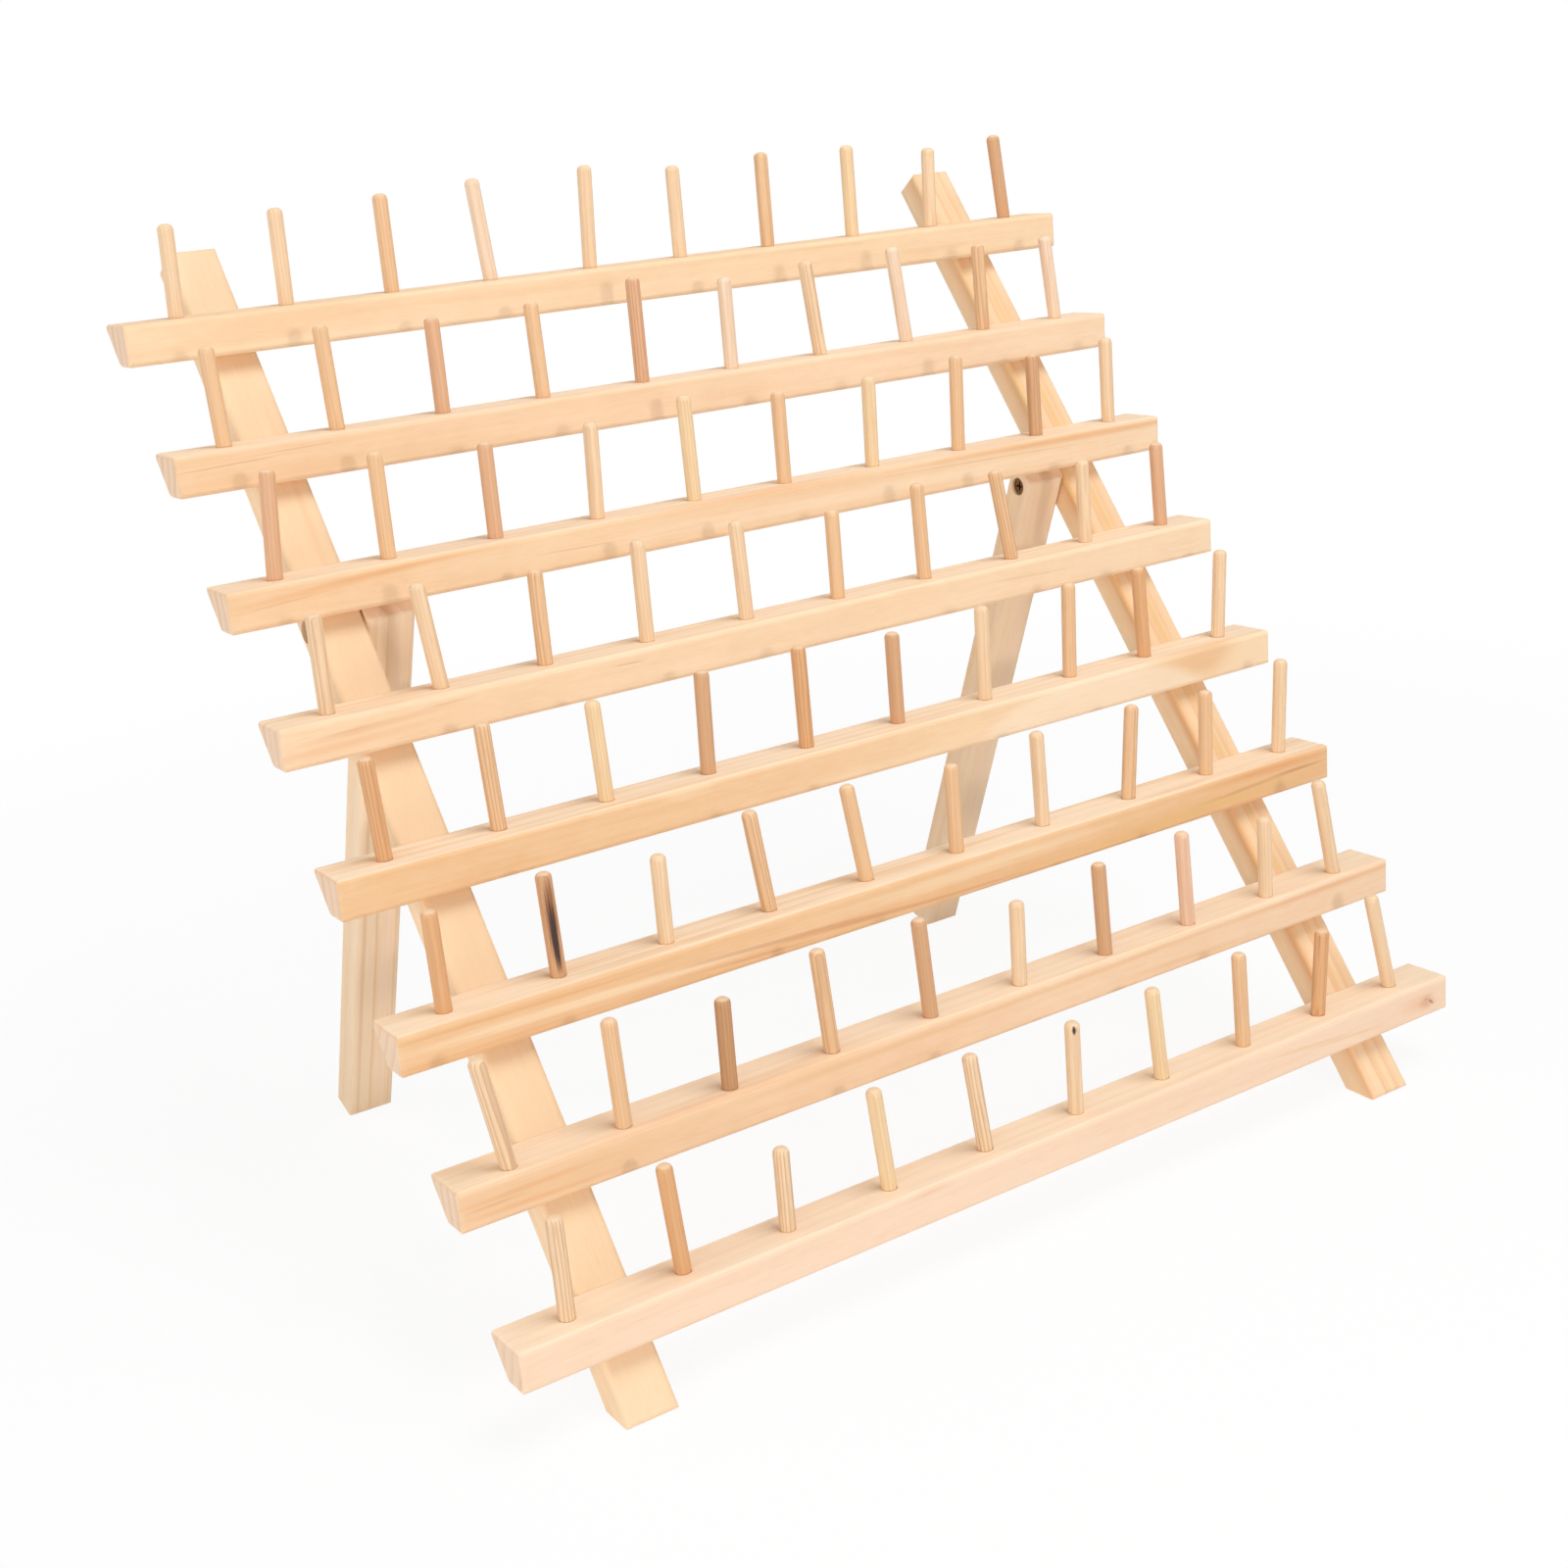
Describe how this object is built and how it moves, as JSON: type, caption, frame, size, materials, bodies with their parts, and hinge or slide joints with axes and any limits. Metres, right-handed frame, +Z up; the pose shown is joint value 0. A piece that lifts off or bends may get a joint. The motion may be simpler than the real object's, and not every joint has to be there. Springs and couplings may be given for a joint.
{
  "type": "thread rack",
  "caption": "Free-standing folding wooden thread rack: tiered rails of upright dowel pegs for spools, fixed to two leaning posts and propped by hinged rear legs.",
  "frame": {"origin": "on the floor, in the middle of the box around the whole rack", "axes": "+X along the rails to the right as seen from the front, +Y to the back, +Z up"},
  "size_m": [0.45, 0.303, 0.3949],
  "materials": {
    "pine": "bare sanded pine",
    "dowel": "bare hardwood dowel",
    "dark_metal": "dark bronze plated steel",
    "zinc": "zinc plated"
  },
  "bodies": {
    "frame": {"post_left": "pine", "post_right": "pine", "rail_1": "pine", "rail_2": "pine", "rail_3": "pine", "rail_4": "pine", "rail_5": "pine", "rail_6": "pine", "rail_7": "pine", "rail_8": "pine", "pegs_row_1": "dowel", "pegs_row_2": "dowel", "pegs_row_3": "dowel", "pegs_row_4": "dowel", "pegs_row_5": "dowel", "pegs_row_6": "dowel", "pegs_row_7": "dowel", "pegs_row_8": "dowel", "pivot_bolt_left": "dark_metal", "pivot_bolt_right": "dark_metal", "pivot_nut_left": "dark_metal", "pivot_nut_right": "dark_metal", "rail_screws_left": "zinc", "rail_screws_right": "zinc"},
    "rear_leg_left": {"rear_leg_left": "pine"},
    "rear_leg_right": {"rear_leg_right": "pine"}
  },
  "joints": [
    {"name": "rear_leg_left_fold", "type": "hinge", "parent": "frame", "child": "rear_leg_left", "pos_m": [-0.1611, 0.04506, 0.24096], "axis": [-1, 0, 0], "range_deg": [0, 59]},
    {"name": "rear_leg_right_fold", "type": "hinge", "parent": "frame", "child": "rear_leg_right", "pos_m": [0.1611, 0.04506, 0.24096], "axis": [-1, 0, 0], "range_deg": [0, 59]}
  ]
}
